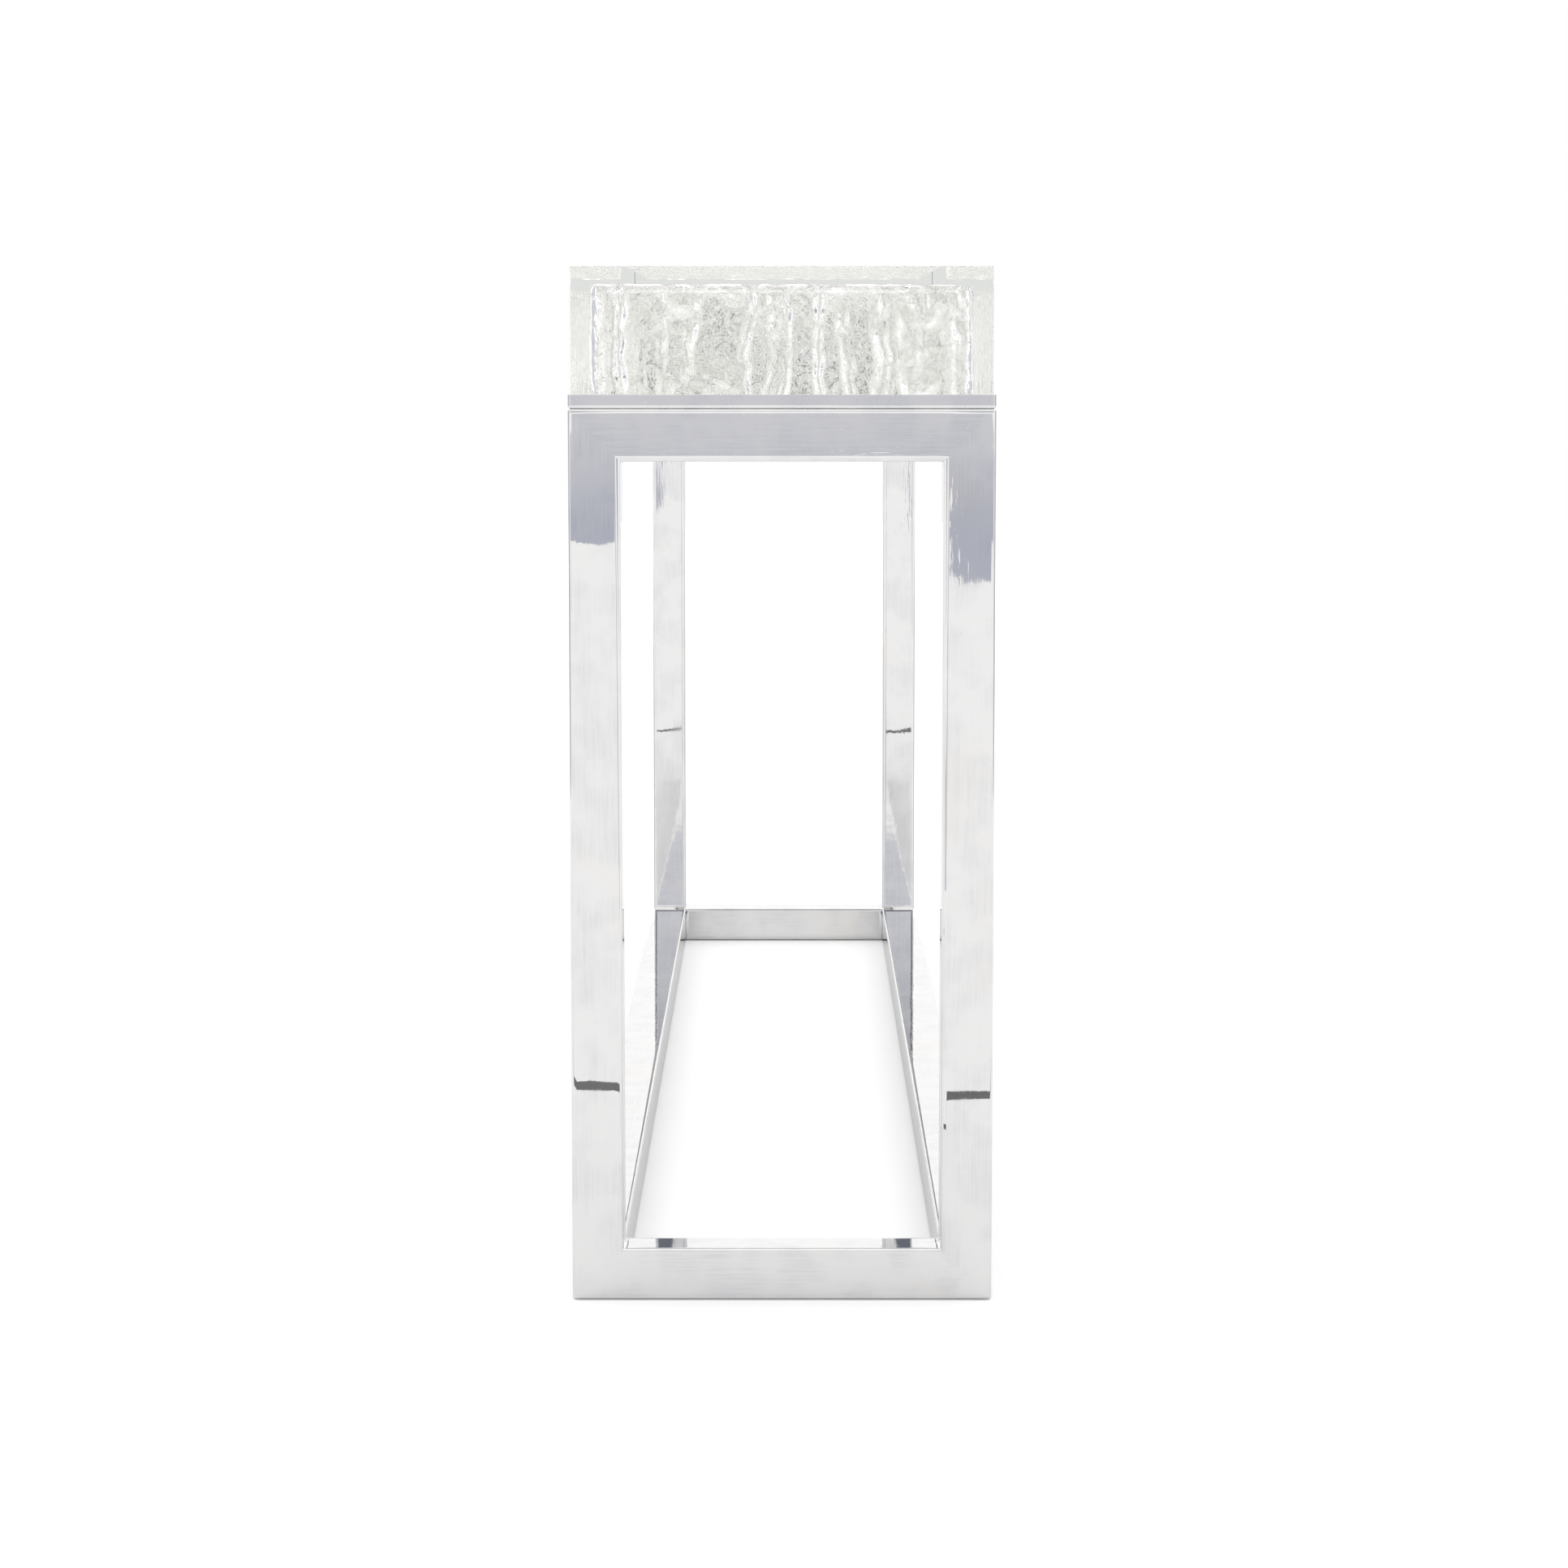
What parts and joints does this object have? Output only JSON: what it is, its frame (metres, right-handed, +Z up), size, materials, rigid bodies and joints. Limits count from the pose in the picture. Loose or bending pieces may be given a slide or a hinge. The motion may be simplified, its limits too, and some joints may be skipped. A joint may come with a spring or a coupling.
{
  "type": "console table",
  "caption": "Long narrow console table: polished square-tube box frame and shallow steel pan under a thick hollow cast glass slab with a rippled inner face.",
  "frame": {"origin": "on the floor, under the middle of the table", "axes": "+X along the length to the right, +Y across the depth to the back, +Z up"},
  "size_m": [1.829, 0.311, 0.762],
  "materials": {
    "polished_stainless": "mirror-polished stainless steel",
    "plain_stainless": "mill-finish stainless steel",
    "zinc_hardware": "bright zinc plating",
    "cast_glass": "clear cast glass, smooth outside and rippled inside",
    "clear_silicone": "clear silicone",
    "glide_vinyl": "clear soft vinyl"
  },
  "bodies": {
    "frame_and_pan": {"cross_bearer_left": "plain_stainless", "cross_bearer_middle": "plain_stainless", "cross_bearer_right": "plain_stainless", "deck_pan": "polished_stainless", "floor_glide_front_left": "glide_vinyl", "floor_glide_front_middle": "glide_vinyl", "floor_glide_front_right": "glide_vinyl", "floor_glide_rear_left": "glide_vinyl", "floor_glide_rear_middle": "glide_vinyl", "floor_glide_rear_right": "glide_vinyl", "leg_front_left": "polished_stainless", "leg_front_right": "polished_stainless", "leg_rear_left": "polished_stainless", "leg_rear_right": "polished_stainless", "lower_end_rail_left": "polished_stainless", "lower_end_rail_right": "polished_stainless", "lower_long_rail_front": "polished_stainless", "lower_long_rail_rear": "polished_stainless", "pan_weld_studs": "plain_stainless", "slab_bumper_front_1": "clear_silicone", "slab_bumper_front_2": "clear_silicone", "slab_bumper_front_3": "clear_silicone", "slab_bumper_front_4": "clear_silicone", "slab_bumper_front_5": "clear_silicone", "slab_bumper_rear_1": "clear_silicone", "slab_bumper_rear_2": "clear_silicone", "slab_bumper_rear_3": "clear_silicone", "slab_bumper_rear_4": "clear_silicone", "slab_bumper_rear_5": "clear_silicone", "stud_nuts": "zinc_hardware", "stud_washers": "zinc_hardware", "upper_end_rail_left": "polished_stainless", "upper_end_rail_right": "polished_stainless", "upper_long_rail_front": "polished_stainless", "upper_long_rail_rear": "polished_stainless"},
    "slab": {"glass_slab": "cast_glass"}
  },
  "joints": [
    {"name": "slab_lift", "type": "slide", "parent": "frame_and_pan", "child": "slab", "axis": [0, 0, 1], "range_m": [0, 0.15]}
  ]
}
